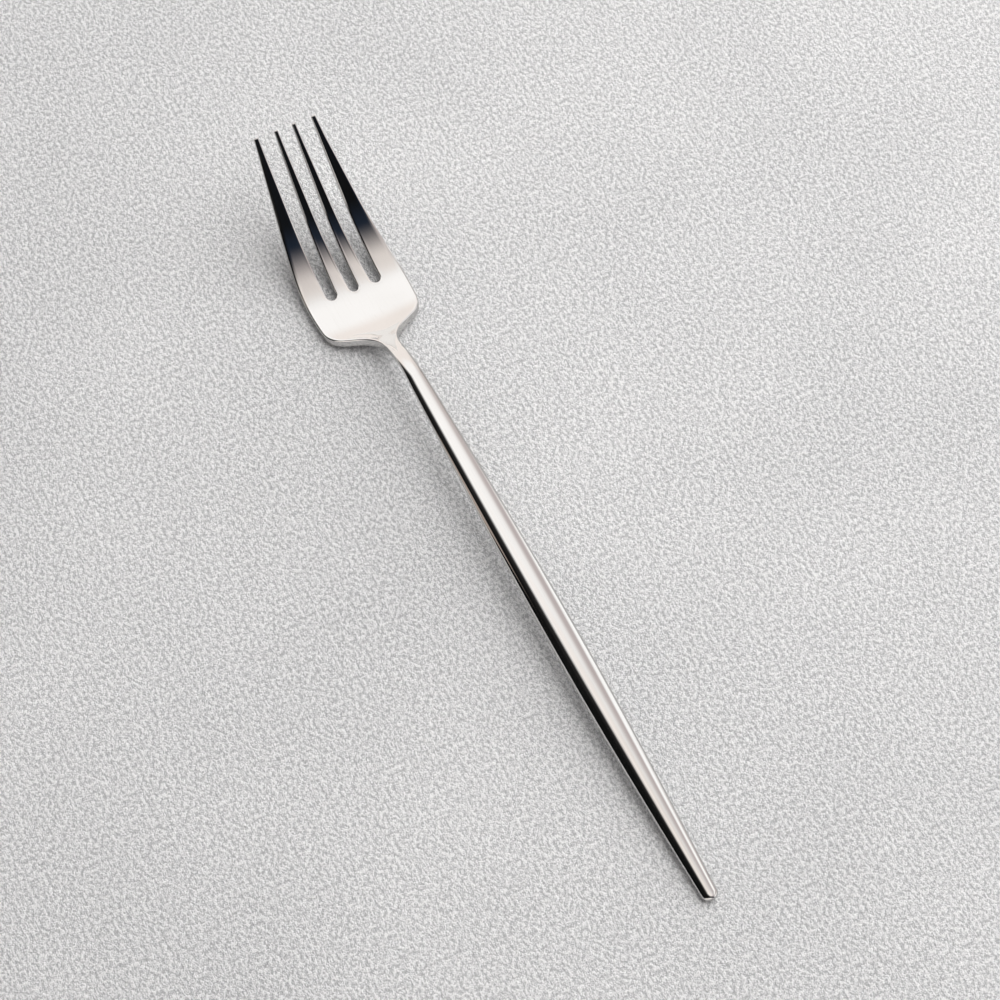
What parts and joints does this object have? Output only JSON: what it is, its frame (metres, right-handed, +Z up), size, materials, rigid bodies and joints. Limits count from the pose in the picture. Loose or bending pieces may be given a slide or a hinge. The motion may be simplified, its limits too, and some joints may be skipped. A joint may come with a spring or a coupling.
{
  "type": "dinner fork",
  "caption": "Slim dinner fork with a four-tine pressed head, a narrow neck and a polished bar handle of oval section, widest at its middle.",
  "frame": {"origin": "on the table, under the middle of the fork's length and width, with the fork lying tines up", "axes": "+X along the fork towards the tips of the tines, +Y across it, +Z up from the table"},
  "size_m": [0.2124, 0.0248, 0.0219],
  "materials": {
    "polished_steel": "mirror-polished stainless steel with faint wiping scratches",
    "braze": "pale silver braze metal, hidden inside the joint"
  },
  "bodies": {
    "root": {"fork_head": "polished_steel", "handle": "polished_steel", "braze_film": "braze"}
  },
  "joints": []
}
